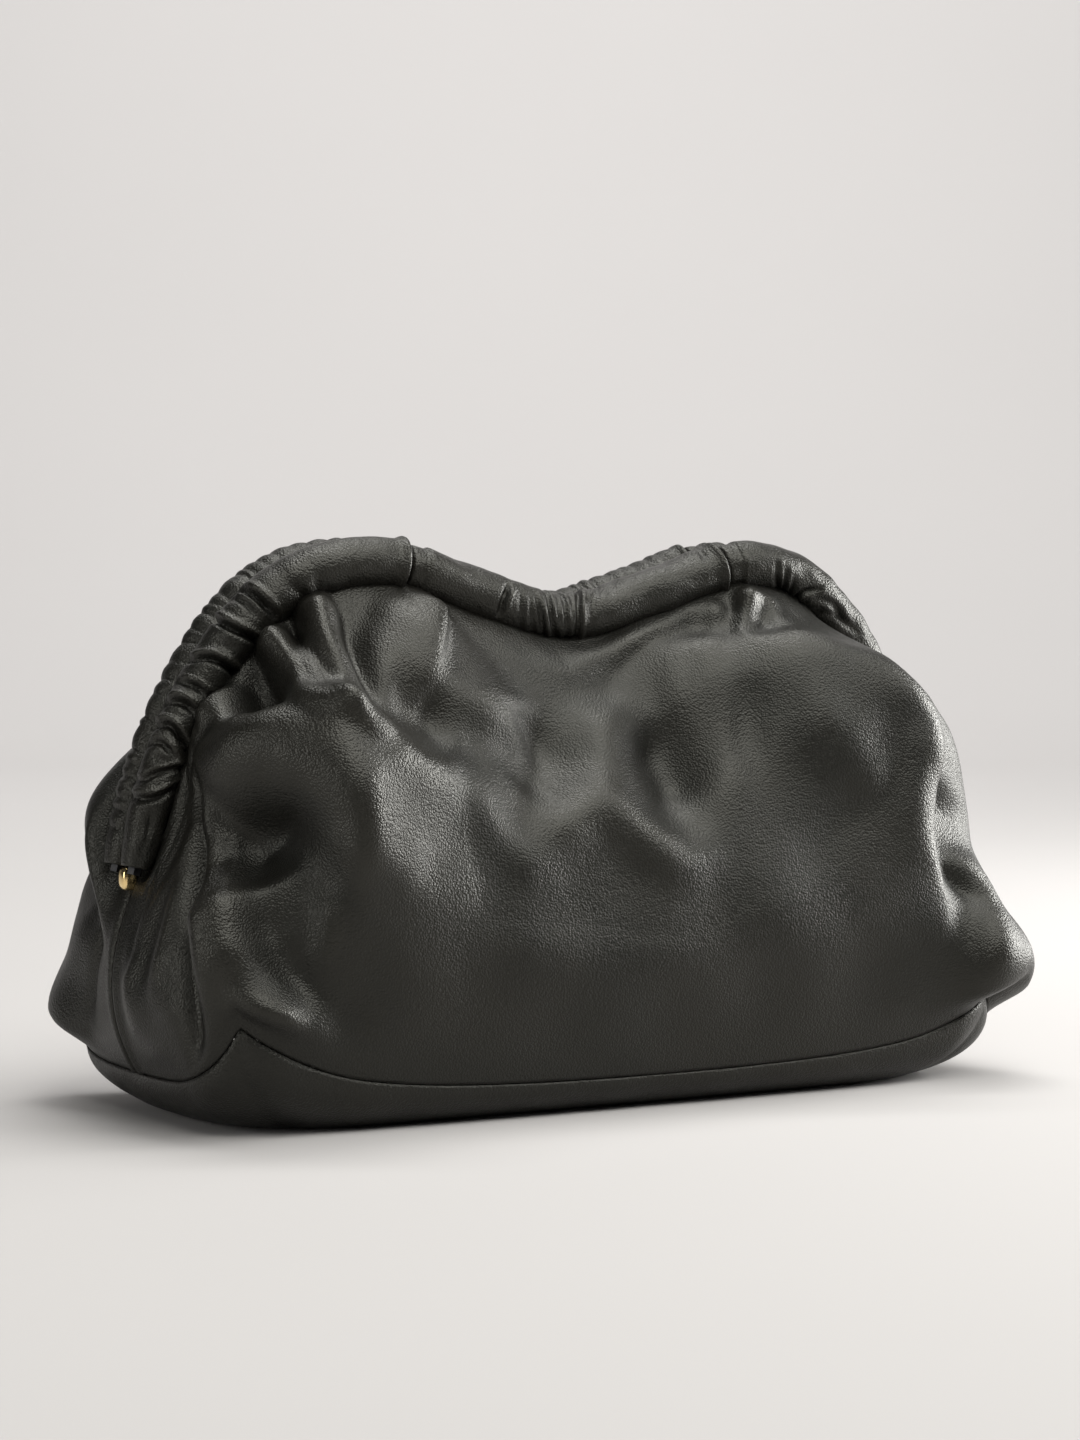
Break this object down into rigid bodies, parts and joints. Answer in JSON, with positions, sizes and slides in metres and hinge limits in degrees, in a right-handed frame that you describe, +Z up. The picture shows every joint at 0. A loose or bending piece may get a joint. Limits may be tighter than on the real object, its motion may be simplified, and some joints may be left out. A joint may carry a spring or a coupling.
{
  "type": "clutch bag",
  "caption": "Gathered leather clutch on a two-bow frame hidden in padded rolls, with a double-humped mouth and a flat base.",
  "frame": {"origin": "centre of the underside of the bag's bounding box, on the surface it stands on", "axes": "+X to the bag's right along its long side, +Y to its back, +Z up; the front with the deeper folds faces -Y"},
  "size_m": [0.2916, 0.1334, 0.1677],
  "materials": {
    "black_leather": "soft grained leather with a satin sheen",
    "dark_steel": "black lacquered steel",
    "brass": "polished"
  },
  "bodies": {
    "root": {"base_panel": "black_leather", "front_panel": "black_leather", "back_panel": "black_leather", "front_roll_left": "black_leather", "front_roll_middle": "black_leather", "front_roll_right": "black_leather", "back_roll_left": "black_leather", "back_roll_middle": "black_leather", "back_roll_right": "black_leather", "front_frame": "dark_steel", "back_frame": "dark_steel", "hinge_left": "brass", "hinge_right": "brass"}
  },
  "joints": []
}
